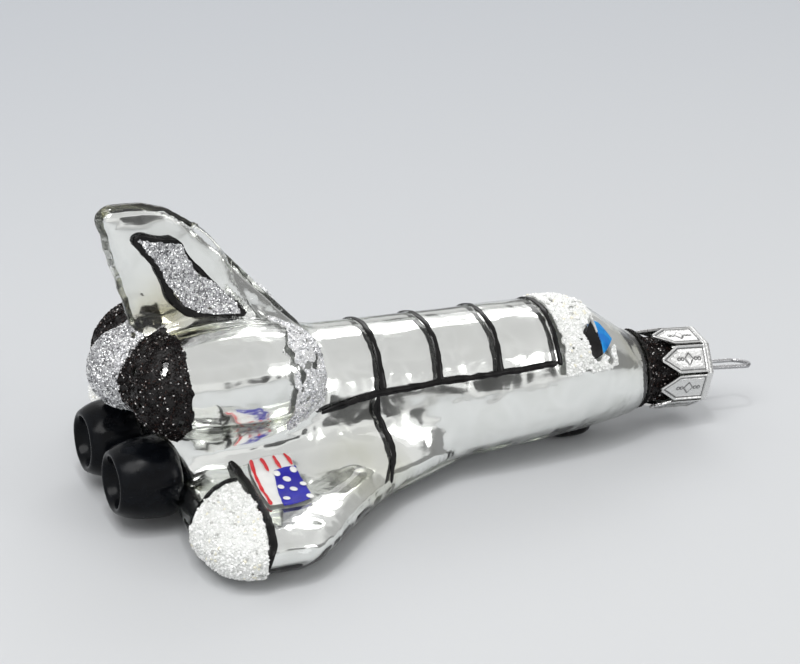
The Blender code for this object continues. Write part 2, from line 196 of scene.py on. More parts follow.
def fade(tree, source, gift, start, end):  # from 0 to 1 between two values, smoothly
    node = add(tree, "ShaderNodeMapRange", {"From Min": start, "From Max": end},
               interpolation_type="SMOOTHSTEP")
    link(tree, (source, gift, node, "Value"))
    return node


def tinted(tree, colour, factor, tint):  # a tint laid over the colour by a factor
    blend = add(tree, "ShaderNodeMix", data_type="RGBA")
    tree.links.new(factor, blend.inputs["Factor"])
    tree.links.new(colour, blend.inputs["A"])
    blend.inputs["B"].default_value = (*tint, 1)
    return blend.outputs["Result"]


def roughen(tree, source, gift, shader, low, high, start=0.3, end=0.7):  # rougher as the gift rises
    spread = add(tree, "ShaderNodeMapRange", {"From Min": start, "From Max": end, "To Min": low,
                                              "To Max": high})
    link(tree, (source, gift, spread, "Value"), (spread, 0, shader, "Roughness"))


def makeRipple():  # slow waves and fine drag lines of hand-blown glass
    tree, source, sink = newGroup("blownRipple", (
        ("Vector", "Vector"), ("Waves", "Float", 180.0), ("Drag", "Float", 700.0),
        ("Stretch", "Vector", (1, 1, 1))), (("Height", "Float"), ("Cloud", "Float")))
    stretch = add(tree, "ShaderNodeVectorMath", operation="MULTIPLY")
    link(tree, (source, "Vector", stretch, 0), (source, "Stretch", stretch, 1))
    waves = add(tree, "ShaderNodeTexNoise", {"Detail": 1.0, "Roughness": 0.4, "Distortion": 0.6})
    link(tree, (source, "Vector", waves, "Vector"), (source, "Waves", waves, "Scale"))
    drag = add(tree, "ShaderNodeTexNoise", {"Detail": 2.0, "Roughness": 0.5})
    link(tree, (stretch, 0, drag, "Vector"), (source, "Drag", drag, "Scale"))
    mix = add(tree, "ShaderNodeMath", {1: 0.12}, operation="MULTIPLY")
    link(tree, (drag, "Fac", mix, 0))
    total = add(tree, "ShaderNodeMath", operation="ADD")
    link(tree, (waves, "Fac", total, 0), (mix, 0, total, 1), (total, 0, sink, "Height"),
         (waves, "Fac", sink, "Cloud"))
    return tree


def makeBrushwork():  # streaks, puddles and pinholes in brushed enamel
    tree, source, sink = newGroup("brushwork", (
        ("Vector", "Vector"), ("Streaks", "Float", 900.0), ("Puddles", "Float", 300.0)),
        (("Height", "Float"), ("Thin", "Float")))
    streaks = add(tree, "ShaderNodeTexNoise", {"Detail": 3.0, "Roughness": 0.6, "Distortion": 1.5})
    puddles = add(tree, "ShaderNodeTexNoise", {"Detail": 1.0, "Roughness": 0.4})
    link(tree, (source, "Vector", streaks, "Vector"), (source, "Vector", puddles, "Vector"),
         (source, "Streaks", streaks, "Scale"), (source, "Puddles", puddles, "Scale"))
    faint = add(tree, "ShaderNodeMath", {1: 0.35}, operation="MULTIPLY")
    link(tree, (streaks, "Fac", faint, 0))
    total = add(tree, "ShaderNodeMath", operation="ADD")
    link(tree, (faint, 0, total, 0), (puddles, "Fac", total, 1), (total, 0, sink, "Height"),
         (puddles, "Fac", sink, "Thin"))
    return tree


ripple = makeRipple()
brushwork = makeBrushwork()


def newMaterial(name, **values):  # a Principled material with its plain socket values
    material = bpy.data.materials.new(name)
    material.use_nodes = True
    shader = material.node_tree.nodes["Principled BSDF"]
    for label, value in values.items():
        shader.inputs[label.replace("_", " ")].default_value = value
    return material, material.node_tree, shader


def placeGroup(tree, group, **values):  # one shared effect, on the piece's own coordinates
    node = add(tree, "ShaderNodeGroup")
    node.node_tree = group
    for label, value in values.items():
        node.inputs[label].default_value = value
    ownPlace(tree, node)
    return node


def bumpFrom(tree, height, shader, distance, strength=1.0):
    bump = add(tree, "ShaderNodeBump", {"Distance": distance, "Strength": strength})
    tree.links.new(height, bump.inputs["Height"])
    link(tree, (bump, "Normal", shader, "Normal"))
    return bump


print("tools ready")

# Camera, light and floor, at the photograph's viewing angle

view = dict(target=(47.9, 0.0, 21.7), distance=0.3676, azimuth=25.3, elevation=24.0, roll=3.2,
            lens=108.0, sensor=36.0)


def makeCamera():
    azimuth, elevation = math.radians(view["azimuth"]), math.radians(view["elevation"])
    back = Vector((-math.sin(azimuth) * math.cos(elevation), -math.cos(azimuth) * math.cos(elevation),
                   math.sin(elevation)))
    bpy.ops.object.camera_add(location=at(*view["target"]) + back * view["distance"])
    camera = newest("camera")
    camera.data.lens, camera.data.sensor_width = view["lens"], view["sensor"]
    camera.data.sensor_fit = "HORIZONTAL"
    camera.data.clip_start = 0.01
    camera.rotation_mode = "QUATERNION"
    camera.rotation_quaternion = ((-back).to_track_quat("-Z", "Y")
                                  @ Quaternion((0, 0, 1), math.radians(view["roll"])))
    bpy.context.scene.camera = camera


# Each lamp: place, width, height, watts
lamps = dict(
    key=((-0.35, -0.25, 0.75), 0.45, 0.45, 3.1),
    back=((0.30, 0.65, 0.55), 0.7, 0.35, 1.8),
    front=((0.55, -0.60, 0.35), 0.3, 0.3, 0.8),
    glint=((-0.10, -0.10, 0.60), 0.05, 0.05, 0.5),
)
lampAim = Vector((0, 0, 0.02))
# The room that the mirror shows: height and brightness of its bands, and the backdrop the camera sees
room = dict(bands=((0.0, 0.80), (0.49, 0.80), (0.53, 1.4), (0.68, 1.4), (0.80, 1.3), (1.0, 1.04)),
            seen=(0.62, 0.65, 0.68), strength=0.60)
# Soft dark and bright cards round the object that the silver mirrors: direction, size, softness, shade
cards = (
    ((0.39, -0.905, 0.16), 0.995, 0.004, 0.14),
    ((0.20, -0.75, 0.62), 0.965, 0.030, 1.12),
    ((-0.80, 0.10, 0.30), 0.930, 0.060, 0.95),
    ((0.10, 0.85, 0.12), 0.930, 0.060, 1.10),
    ((0.85, 0.30, 0.20), 0.940, 0.050, 0.80),
    ((0.81, -0.38, 0.02), 0.940, 0.060, 0.42),
)


def makeLamp(name, place, width, height, watts):
    bpy.ops.object.light_add(type="AREA", location=place)
    lamp = newest(name)
    lamp.data.shape = "RECTANGLE"
    lamp.data.size, lamp.data.size_y = width, height
    lamp.data.energy = watts
    lamp.rotation_euler = (lampAim - Vector(place)).to_track_quat("-Z", "Y").to_euler()


def makeRoom():  # the studio that the mirror shows, and a plain pale backdrop for the camera
    world = bpy.data.worlds.new("studio")
    bpy.context.scene.world = world
    world.use_nodes = True
    tree = world.node_tree
    backdrop = tree.nodes["Background"]
    coordinates = add(tree, "ShaderNodeTexCoord")
    split = add(tree, "ShaderNodeSeparateXYZ")
    link(tree, (coordinates, "Generated", split, 0))
    height = add(tree, "ShaderNodeMapRange", {"From Min": -1.0, "From Max": 1.0})
    link(tree, (split, "Z", height, "Value"))
    colour = ramp(tree, height.outputs[0], [(spot, grey(shade)) for spot, shade in room["bands"]])
    for direction, size, soft, shade in cards:
        facing = add(tree, "ShaderNodeVectorMath", {1: Vector(direction).normalized()},
                     operation="DOT_PRODUCT")
        link(tree, (coordinates, "Generated", facing, 0))
        edge = fade(tree, facing, "Value", size - soft, size)
        colour = tinted(tree, colour, edge.outputs[0], grey(shade))
    tree.links.new(colour, backdrop.inputs["Color"])
    backdrop.inputs["Strength"].default_value = room["strength"]
    plain = add(tree, "ShaderNodeBackground", {"Color": (*room["seen"], 1), "Strength": 1.0})
    path = add(tree, "ShaderNodeLightPath")
    either = add(tree, "ShaderNodeMixShader")
    link(tree, (path, "Is Camera Ray", either, 0), (backdrop, 0, either, 1), (plain, 0, either, 2))
    tree.links.new(either.outputs[0], tree.nodes["World Output"].inputs["Surface"])


def makeFloor():
    bpy.ops.mesh.primitive_circle_add(vertices=96, radius=2.5, fill_type="NGON")
    floor = newest("floor")
    material, tree, shader = newMaterial("paleFloor", Roughness=0.9, Specular_IOR_Level=0.2)
    split = add(tree, "ShaderNodeSeparateXYZ")
    ownPlace(tree, split, 0)
    # painted shade: the floor is coloured darker away from the camera, as if the light fell off towards
    # the back
    depth = fade(tree, split, "Y", -0.10, 0.35)
    colour = ramp(tree, depth.outputs[0], ((0.0, (0.57, 0.58, 0.59)), (1.0, (0.45, 0.47, 0.50))))
    tree.links.new(colour, shader.inputs["Base Color"])
    floor.data.materials.append(material)


makeCamera()
for lampName, lamp in lamps.items():
    makeLamp(lampName, *lamp)
makeRoom()
makeFloor()
bpy.context.scene.view_settings.view_transform = "Standard"
paths = bpy.context.scene.cycles  # light crosses the clear skin and the mirror many times at a thick edge
paths.max_bounces, paths.glossy_bounces, paths.transmission_bounces = 24, 20, 20
print("camera, lights and floor ready")

# Glass: a clear blown skin with a silvered lining inside it

glassLook = dict(skinCell=0.42 * mm, liningCell=0.48 * mm, melt=14, wave=0.10 * mm, waveSize=7.0 * mm,
                 flowPasses=24, flowRounds=45, flowDepth=0.004 * mm, flowLeast=0.1,
                 liningDrop=0.25 * mm)


def splitShells(body):  # the outer and the inner shell, parted at the neck's rim
    rim = max(v.co.x for v in body.data.vertices)
    work = bmesh.new()
    work.from_mesh(body.data)
    work.faces.ensure_lookup_table()
    neck = [f for f in work.faces if f.normal.x > 0.95 and rim - f.calc_center_median().x < 1.4 * mm]
    bmesh.ops.delete(work, geom=neck, context="FACES")
    work.to_mesh(body.data)
    work.free()
    editAll(body)
    bpy.ops.mesh.separate(type="LOOSE")
    leaveEdit()
    shells = sorted(bpy.context.selected_objects, key=lambda s: -s.dimensions.length)
    for unwanted in shells[2:]:
        bpy.data.objects.remove(unwanted)
    return shells[:2]


def melt(shell, cell, rounds):  # an even mesh whose facets have flowed together
    editAll(shell)
    bpy.ops.mesh.select_all(action="DESELECT")
    bpy.ops.mesh.select_non_manifold()
    bpy.ops.mesh.edge_face_add()
    leaveEdit()
    outwards(shell)
    apply(shell, "REMESH", mode="VOXEL", voxel_size=cell, use_smooth_shade=True)
    apply(shell, "SMOOTH", factor=0.5, iterations=rounds)


def flow(shell):  # soft glass fills its own inner corners as it is blown
    for _ in range(glassLook["flowPasses"]):
        work = bmesh.new()
        work.from_mesh(shell.data)
        hollows = []
        for vertex in work.verts:
            ring = [edge.other_vert(vertex).co for edge in vertex.link_edges]
            middle = sum(ring, Vector()) / len(ring)
            hollows.append((middle - vertex.co).dot(vertex.normal) / glassLook["flowDepth"])
        work.free()
        corners = shell.vertex_groups.new(name="corners")
        for index, hollow in enumerate(hollows):
            if hollow > glassLook["flowLeast"]:
                corners.add([index], min(hollow, 1.0), "REPLACE")
        apply(shell, "SMOOTH", factor=0.5, iterations=glassLook["flowRounds"], vertex_group="corners")
        shell.vertex_groups.remove(shell.vertex_groups["corners"])


def pushOut(piece, height):  # each vertex moves along its own normal by height(place)
    normals = [vertex.normal.copy() for vertex in piece.data.vertices]
    for vertex, normal in zip(piece.data.vertices, normals):
        vertex.co += normal * height(vertex.co)


def wave(shell, strength, size, seed):  # the slight unevenness of mouth-blown glass
    pushOut(shell, lambda place: noise.noise(place / size + Vector((seed, 0, 0))) * strength)


# The mould's marks in millimetres, and how far a face has to turn to the side, up or back to take them
moulded = dict(ripple=0.26, grain=2.0, rearFrom=26.0, rearFacing=-0.3,
               finHeight=0.45, finReach=0.55, finFrom=24.0, finHalf=6.0, finFacing=0.35,
               wingHeight=0.32, wingReach=2.6, wingUnder=13.0, wingFade=(11.0, 17.0), wingFacing=0.2,
               fin=((14.6, 43.3), (17.1, 39.8), (18.3, 37.8), (19.3, 34.0), (22.0, 29.5), (24.4, 25.0)),
               wing=((17.0, 27.5), (21.0, 25.2), (25.5, 22.8), (29.5, 19.6), (33.5, 15.6), (38.0, 12.6)))


def away(place, route):  # from a flat place to the nearest part of a flat route
    spans = []
    for a, b in zip(route, route[1:]):
        nearest, share = intersect_point_line(Vector(place), Vector(a), Vector(b))
        if not 0 <= share <= 1:
            nearest = Vector(b if share > 1 else a)
        spans.append((Vector(place) - nearest.to_2d()).length)
    return min(spans)


def press(shell, marks=moulded):  # raised lines on fin and wings, and chilled ripples behind the fin
    normals = [vertex.normal.copy() for vertex in shell.data.vertices]
    for vertex, normal in zip(shell.data.vertices, normals):
        x, y, z = (vertex.co - at(0, 0, 0)) / mm
        height = 0.0
        if z > marks["finFrom"] and abs(normal.y) > marks["finFacing"] and abs(y) < marks["finHalf"]:
            line = away((x, z), marks["fin"]) / marks["finReach"]
            height = marks["finHeight"] * math.exp(-line ** 2)
        elif z < marks["wingUnder"] and normal.z > marks["wingFacing"] and abs(y) > marks["wingFade"][0]:
            line = away((x, abs(y)), marks["wing"]) / marks["wingReach"]
            height = marks["wingHeight"] * math.exp(-line ** 2) * smoothStep(*marks["wingFade"], abs(y))
        if z > marks["rearFrom"] and normal.x < marks["rearFacing"]:
            height += marks["ripple"] * noise.noise(Vector((x * 0.2, y * 0.25, z / marks["grain"])))
        if height:
            vertex.co += normal * height * mm


# Where the silver has yellowed: place, reach and tint
tarnish = (((9.0, 0.0, 29.0), 11.0, (0.66, 0.62, 0.44)), ((86.5, 0.0, 14.0), 9.0, (0.80, 0.78, 0.62)),
           ((36.0, -16.0, 6.0), 12.0, (0.80, 0.80, 0.68)))


def glassMaterial():
    material, tree, shader = newMaterial("clearGlass", Base_Color=(0.985, 0.99, 0.985, 1),
                                         Roughness=0.015, IOR=1.5, Transmission_Weight=1.0)
    waves = placeGroup(tree, ripple, Waves=260.0, Drag=500.0, Stretch=(0.5, 1.0, 1.6))
    bumpFrom(tree, waves.outputs["Height"], shader, 0.06 * mm, 0.6)
    return material


def silverMaterial():
    material, tree, shader = newMaterial("silverLining", Metallic=1.0)
    waves = placeGroup(tree, ripple, Waves=230.0, Drag=420.0, Stretch=(0.35, 1.2, 1.8))
    colour = ramp(tree, waves.outputs["Cloud"], ((0.25, (0.88, 0.89, 0.87)), (0.5, (0.92, 0.93, 0.91)),
                                                 (0.8, (0.84, 0.85, 0.82))))
    for place, reach, tint in tarnish:  # thin silver lets a little yellow through
        gap = add(tree, "ShaderNodeVectorMath", {1: at(*place)}, operation="DISTANCE")
        ownPlace(tree, gap, 0)
        near = fade(tree, gap, "Value", reach * mm, reach * 0.25 * mm)
        patchy = add(tree, "ShaderNodeMath", operation="MULTIPLY")
        link(tree, (near, 0, patchy, 0), (waves, "Cloud", patchy, 1))
        colour = tinted(tree, colour, patchy.outputs[0], tint)
    tree.links.new(colour, shader.inputs["Base Color"])
    roughen(tree, waves, "Cloud", shader, 0.05, 0.13, end=0.75)
    bumpFrom(tree, waves.outputs["Height"], shader, 0.16 * mm, 0.9)
    return material


skin, lining = splitShells(copyNode("glass_body", "blownGlass"))
lining.name, skin.name = "silverLining", "blownGlass"
melt(skin, glassLook["skinCell"], glassLook["melt"])
melt(lining, glassLook["liningCell"], glassLook["melt"])
for shell in (skin, lining):
    flow(shell)
    press(shell)
apply(lining, "DISPLACE", strength=-glassLook["liningDrop"], mid_level=0.0)
wave(skin, glassLook["wave"], glassLook["waveSize"], 3.0)
wave(lining, glassLook["wave"], glassLook["waveSize"], 8.0)
glassTree = treeOf(skin)
dress(skin, glassMaterial(), "silvered_glass", "glass", "glass_body")
dress(lining, silverMaterial(), "silvered_glass", "glass")
print("glass ready", len(skin.data.polygons), len(lining.data.polygons))


def onGlass(point):  # the nearest place on the glass, and the way out of it
    return glassTree.find_nearest(point)[:2]


# Enamel

def enamelMaterial(name, colour, thin, rough, **values):
    material, tree, shader = newMaterial(name, **values)
    strokes = placeGroup(tree, brushwork, Streaks=1400.0, Puddles=520.0)
    shade = ramp(tree, strokes.outputs["Thin"], ((0.35, colour), (0.72, thin)))
    tree.links.new(shade, shader.inputs["Base Color"])
    roughen(tree, strokes, "Thin", shader, rough, rough + 0.16)
    bumpFrom(tree, strokes.outputs["Height"], shader, 0.05 * mm, 0.7)
    return material


blackEnamel = enamelMaterial("blackEnamel", (0.003, 0.003, 0.003), (0.008, 0.007, 0.007), 0.14,
                             Specular_IOR_Level=0.22)
cupEnamel = enamelMaterial("cupEnamel", (0.0022, 0.0026, 0.0036), (0.004, 0.005, 0.007), 0.12,
                           Specular_IOR_Level=0.12)
blueEnamel = enamelMaterial("blueLacquer", (0.005, 0.18, 0.60), (0.01, 0.34, 0.80), 0.18, Metallic=0.35)
whiteEnamel = enamelMaterial("whiteEnamel", (0.84, 0.84, 0.82), (0.76, 0.76, 0.74), 0.30)
redEnamel = enamelMaterial("redEnamel", (0.62, 0.012, 0.02), (0.75, 0.05, 0.06), 0.28)
cantonEnamel = enamelMaterial("cantonBlue", (0.018, 0.014, 0.30), (0.03, 0.03, 0.42), 0.28)

strokeLook = dict(step=0.35, width=0.95, bead=0.26, wobble=0.16, wander=0.18, lift=0.02)


def alongCurve(points, step, closed):  # even steps on a smooth curve through (x, y, z, width share)
    rows = [Vector((*p, 1.0)) if len(p) == 3 else Vector(p) for p in points]
    last = len(rows) if closed else len(rows) - 1

    def row(i):
        return rows[i % len(rows)] if closed else rows[min(max(i, 0), len(rows) - 1)]
    path = []
    for i in range(last):
        a, b, c, d = row(i - 1), row(i), row(i + 1), row(i + 2)
        count = max(1, round((c - b).length / step))
        for k in range(count):
            t = k / count
            path.append(0.5 * (2 * b + (c - a) * t + (2 * a - 5 * b + 4 * c - d) * t ** 2
                               + (3 * b - a - 3 * c + d) * t ** 3))
    return path if closed else path + [rows[-1]]


def plainCurve(name, count):  # a curve with one spline of that many knots, still to be placed
    bpy.ops.curve.primitive_nurbs_path_add()
    line = newest(name)
    line.data.splines.clear()
    spline = line.data.splines.new("POLY")
    spline.points.add(count - 1)
    return line, spline


def roundBar(line, name, thick, smoothness):  # the curve made a mesh of that thickness, in millimetres
    line.data.bevel_depth = thick * mm / 2
    line.data.bevel_resolution = smoothness
    line.data.use_fill_caps = True
    only(line)
    bpy.ops.object.convert(target="MESH")
    return newest(name)


def stroke(name, points, seed=0, closed=False, look=strokeLook, **changes):
    # a bead of enamel drawn over the glass through points in millimetres from the tail
    look = {**look, **changes}
    path = alongCurve(points, look["step"], closed)
    line, spline = plainCurve(name, len(path))
    spline.use_cyclic_u = closed
    for i, (knot, p) in enumerate(zip(spline.points, path)):
        wobble = noise.noise(Vector((i * 0.31, seed * 7.7, 0.5)))
        sway = [noise.noise(Vector((i * 0.13, seed * 3.1, k))) * look["wander"] for k in range(3)]
        place = onGlass(at(p[0] + sway[0], p[1] + sway[1], p[2] + sway[2]))[0]
        fromEnd = len(path) if closed else min(i, len(path) - 1 - i)
        knot.co = (*place, 1)
        knot.radius = p[3] * (1 + 2 * look["wobble"] * wobble) * (0.45, 0.8, 0.95, 1.0)[min(fromEnd, 3)]
    line = roundBar(line, name, look["width"], 2)
    radius = look["width"] * mm / 2
    for vertex in line.data.vertices:
        place, normal = onGlass(vertex.co)
        rise = (vertex.co - place).dot(normal)
        share = min(max((rise + radius) / (2 * radius), 0.0), 1.0)
        vertex.co = place + normal * ((look["lift"] + look["bead"] * share) * mm)
    outwards(line)
    smoothShade(line, 80)
    return line


def turned(points, sign):  # points drawn on the starboard side, on that side or the port side
    return [(p[0], -sign * p[1], *p[2:]) for p in points]


def paintHoops():
    hoops = dict(places=(41.1, 50.7, 60.8, 71.0), lean=(-0.3, -1.1, -0.7, -0.2), bow=(0.3, 0.4, 0.3, 0.2),
                 foot=17.2, top=24.0, half=10.0, turns=(8, 25, 45, 65, 90, 115, 135, 155, 172))
    for number, (x, lean, bow) in enumerate(zip(hoops["places"], hoops["lean"], hoops["bow"]), 1):
        route = []
        for turn in hoops["turns"]:
            angle = math.radians(turn)
            share = 1.25 if turn in (8, 172) else 1.0
            route.append((x + lean * max(0.0, -math.cos(angle) + 0.2) + bow * math.sin(angle),
                          -hoops["half"] * math.cos(angle),
                          hoops["foot"] - 0.9 + (hoops["top"] - hoops["foot"]) * math.sin(angle), share))
        hoop = stroke(f"bayHoop{number}", route, seed=number)
        dress(hoop, blackEnamel, "black_enamel", "glass", f"line_bay_hoop_{number}")


def paintLines():
    sill = [(30.6, -10.3, 15.4, 0.7), (33.8, -10.2, 15.9), (39.5, -9.8, 16.7, 1.1), (45, -9.6, 16.9),
            (50.5, -9.5, 17.1, 1.1), (60.3, -9.5, 17.1), (66, -9.4, 17.2, 1.1), (70.6, -9.2, 17.4, 1.2)]
    sideLine = [(40.3, -10.0, 16.6, 0.7), (40.0, -10.4, 15.2), (39.9, -10.6, 13.9, 1.2),
                (40.5, -10.9, 12.3, 0.9), (41.2, -11.4, 9.8), (41.4, -13.3, 8.4, 1.1),
                (40.6, -15.6, 7.4, 0.85), (39.4, -17.6, 5.8, 0.8)]
    tipFront = [(15.9, -11.5, 9.9, 1.2), (16.5, -13.3, 8.9, 1.3), (17.1, -16.1, 8.8, 1.0),
                (17.0, -19.0, 8.7, 1.25), (16.9, -21.9, 8.5, 1.1), (16.5, -25.5, 8.3, 1.3),
                (16.0, -28.3, 8.1, 1.0), (15.5, -31.0, 7.3, 1.35), (14.6, -32.6, 5.9, 1.1),
                (14.2, -32.9, 3.8, 0.7)]
    tipRear = [(16.0, -15.2, 8.8, 0.8), (13.1, -15.8, 8.8, 1.0), (9.9, -18.3, 8.5, 0.9),
               (7.4, -20.9, 7.4, 1.0), (6.8, -22.6, 5.4, 0.9), (6.9, -24.0, 3.4, 0.7)]
    finFrame = [(5.0, -2.2, 42.6, 1.9), (8.0, -2.6, 42.4, 0.9), (10.9, -2.7, 41.7, 1.3),
                (12.4, -2.8, 39.4, 0.75), (14.8, -2.9, 36.6, 0.7), (17.6, -2.9, 33.6, 0.65),
                (20.0, -2.9, 30.6, 1.0), (20.5, -2.9, 29.1, 1.5), (17.0, -3.2, 29.9, 1.15),
                (12.6, -3.3, 30.9, 1.5), (10.2, -3.1, 33.0, 1.3), (8.9, -2.9, 36.0, 1.35),
                (7.6, -2.6, 39.0, 1.4), (6.1, -2.4, 41.2, 1.5)]
    for side, sign in sides:
        seed = 10 * (2 + sign)
        lines = (("sillLine", sill, (f"line_sill_{side}",), False),
                 ("sideLine", sideLine, (f"line_side_{side}", f"line_wing_{side}"), False),
                 ("tipFrontLine", tipFront, (f"line_wingtip_front_{side}",), False),
                 ("tipRearLine", tipRear, (f"line_wingtip_rear_{side}",), False),
                 ("finFrame", finFrame, (f"line_fin_{side}",), True))
        for number, (name, route, nodes, closed) in enumerate(lines):
            line = stroke(f"{name}_{side}", turned(route, sign), seed=seed + number, closed=closed)
            dress(line, blackEnamel, "black_enamel", "glass", *nodes)


paintHoops()
paintLines()
print("enamel lines ready")


def paintPatch(name, corners, divisions=24, bead=0.16, lift=0.02, barrel=0.22, wander=0.12, seed=0):
    # a flat puddle of enamel between four corners, laid on the glass
    bpy.ops.mesh.primitive_grid_add(x_subdivisions=divisions, y_subdivisions=divisions, size=2)
    patch = newest(name)
    a, b, c, d = (Vector(p) for p in corners)
    for vertex in patch.data.vertices:
        u, v = vertex.co.x, vertex.co.y
        u, v = u * math.sqrt(1 - barrel * v * v / 2), v * math.sqrt(1 - barrel * u * u / 2)
        s, t = (u + 1) / 2, (v + 1) / 2
        flat = (a * (1 - s) + b * s) * (1 - t) + (d * (1 - s) + c * s) * t
        shake = [noise.noise(Vector((flat[0] * 0.9, flat[1] * 0.9 + seed, k))) * wander for k in range(2)]
        place, normal = onGlass(at(flat[0] + shake[0], flat[1] + shake[1], flat[2]))
        vertex.co = place + normal * (lift * mm)
    apply(patch, "SOLIDIFY", thickness=bead * mm, offset=1.0)
    apply(patch, "BEVEL", width=bead * 0.45 * mm, segments=2, limit_method="ANGLE",
          angle_limit=math.radians(60))
    outwards(patch)
    smoothShade(patch, 60)
    return patch


def paintFlag():
    flag = dict(ground=((18.5, -11.2, 9.4), (25.2, -11.1, 9.7), (25.0, -22.9, 8.3), (17.9, -23.4, 8.4)),
                canton=((21.7, -14.5, 8.9), (25.4, -14.1, 8.9), (24.9, -23.0, 8.2), (19.6, -24.4, 8.3)),
                lift=0.16, stripe=0.50)
    stripes = (((18.9, -11.6, 9.4), (18.7, -16.0, 9.0), (18.4, -20.0, 8.6), (18.3, -23.2, 8.4)),
               ((20.3, -11.5, 9.4), (20.7, -13.2, 9.1), (20.9, -14.9, 9.0)),
               ((22.2, -11.4, 9.5), (22.6, -13.0, 9.2), (22.9, -14.5, 9.0)),
               ((24.0, -11.3, 9.6), (24.5, -12.8, 9.3), (24.8, -14.1, 9.1)))
    dots = ((21.9, -15.6, 0.95), (24.6, -15.2, 1.0), (22.9, -17.2, 1.1), (24.8, -18.9, 0.9),
            (21.3, -19.0, 0.9), (22.9, -20.0, 1.0), (24.4, -22.6, 1.0), (20.9, -22.3, 0.9))
    ground = paintPatch("flagGround", flag["ground"], seed=4)
    dress(ground, whiteEnamel, "flag_paint", "glass", "flag_panel")
    canton = paintPatch("flagCanton", flag["canton"], lift=flag["lift"], bead=0.10, seed=9)
    dress(canton, cantonEnamel, "flag_paint", "glass")
    drawn = [stroke(f"stripe{i}", route, seed=60 + i, width=flag["stripe"],
                    bead=0.10, lift=flag["lift"], wobble=0.22)
             for i, route in enumerate(stripes)]
    red = join(drawn, "flagStripes")
    dress(red, redEnamel, "flag_paint", "glass")
    drops = []
    for i, (x, y, size) in enumerate(dots):
        place, normal = onGlass(at(x, y, 8.8))
        bpy.ops.mesh.primitive_uv_sphere_add(segments=24, ring_count=12, radius=0.62 * size * mm)
        drop = newest(f"dot{i}")
        for vertex in drop.data.vertices:
            vertex.co.y *= 0.86
            vertex.co.z *= 0.30 if vertex.co.z > 0 else 0.12
        drop.data.transform(normal.to_track_quat("Z", "X").to_matrix().to_4x4())
        drop.data.transform(Matrix.Translation(place + normal * (flag["lift"] + 0.12) * mm))
        drops.append(drop)
    stars = join(drops, "flagDots")
    smoothShade(stars, 80)
    dress(stars, whiteEnamel, "flag_paint", "glass")


def paintWindows():
    black = ((76.0, -7.3, 20.1), (78.7, -4.6, 21.8), (79.2, -8.1, 17.1), (77.1, -8.9, 16.6))
    blue = ((78.8, -4.3, 21.9), (80.2, -4.4, 21.2), (82.0, -6.4, 18.8), (79.3, -8.1, 17.1))
    for side, sign in sides:
        for name, corners, enamel, seed in (("black", black, blackEnamel, 20),
                                            ("blue", blue, blueEnamel, 21)):
            pane = paintPatch(f"{name}Window_{side}", turned(corners, sign), barrel=0.05, wander=0.05,
                              seed=seed, bead=0.2)
            dress(pane, enamel, f"{name}_enamel", "glass", f"pane_{name}_{side}")


paintFlag()
paintWindows()
print("flag and windows ready")

# Glitter crusts: a lumpy bed of glue with thousands of loose flakes on it


def toneMaterial(name, stops, bands, **values):  # flakes whose colour goes by their own tone
    material, tree, shader = newMaterial(name, **values)
    tone = add(tree, "ShaderNodeAttribute", attribute_name="tone")
    colour = ramp(tree, tone.outputs["Fac"], stops)
    colour.node.color_ramp.interpolation = "CONSTANT"
    tree.links.new(colour, shader.inputs["Base Color"])
    roughen(tree, tone, "Fac", shader, *bands, 0.0, 1.0)
    return material


def bedMaterial(name, low, high, rough, **values):
    material, tree, shader = newMaterial(name, Roughness=rough, **values)
    grains = add(tree, "ShaderNodeTexVoronoi", {"Scale": 2600.0})
    ownPlace(tree, grains)
    colour = ramp(tree, grains.outputs["Color"], ((0.1, low), (0.9, high)))
    tree.links.new(colour, shader.inputs["Base Color"])
    bumpFrom(tree, grains.outputs["Distance"], shader, 0.15 * mm, 0.8)
    return material


silverFlakes = toneMaterial("silverFlakes", (
    (0.0, (0.97, 0.98, 0.98)), (0.46, (0.66, 0.67, 0.68)), (0.62, (0.14, 0.14, 0.15)),
    (0.78, (1.0, 1.0, 1.0)), (0.9975, (0.70, 0.05, 0.04)), (0.9988, (0.80, 0.50, 0.12))),
    (0.08, 0.36), Metallic=1.0)
frostFlakes = toneMaterial("frostFlakes", (
    (0.0, (0.96, 0.96, 0.97)), (0.56, (0.84, 0.85, 0.87)), (0.80, (0.36, 0.37, 0.38)),
    (0.88, (0.98, 0.98, 0.99))), (0.08, 0.40), Metallic=0.7)
blackFlakes = toneMaterial("blackFlakes", (
    (0.0, (0.003, 0.002, 0.002)), (0.66, (0.010, 0.007, 0.007)), (0.90, (0.040, 0.022, 0.018)),
    (0.962, (0.28, 0.25, 0.24)), (0.984, (0.85, 0.83, 0.82))), (0.10, 0.36), Metallic=0.2,
    Specular_IOR_Level=0.08)
whiteCrystals = toneMaterial("whiteCrystals", (
    (0.0, (0.80, 0.81, 0.79)), (0.35, (0.87, 0.88, 0.86)), (0.70, (0.74, 0.75, 0.73)),
    (0.80, (0.94, 0.94, 0.93)), (0.965, (0.82, 0.79, 0.66)), (0.985, (0.50, 0.50, 0.48))), (0.06, 0.34),
    Coat_Weight=0.9, Coat_Roughness=0.05)
silverBed = bedMaterial("silverGlue", (0.22, 0.22, 0.23), (0.72, 0.72, 0.74), 0.35, Metallic=0.8)
frostBed = bedMaterial("frostGlue", (0.62, 0.62, 0.62), (0.88, 0.88, 0.88), 0.35, Metallic=0.4)
blackBed = bedMaterial("blackGlue", (0.002, 0.002, 0.002), (0.010, 0.008, 0.008), 0.45,
                        Specular_IOR_Level=0.3)
whiteBed = bedMaterial("whiteGlue", (0.70, 0.71, 0.69), (0.82, 0.82, 0.80), 0.35)

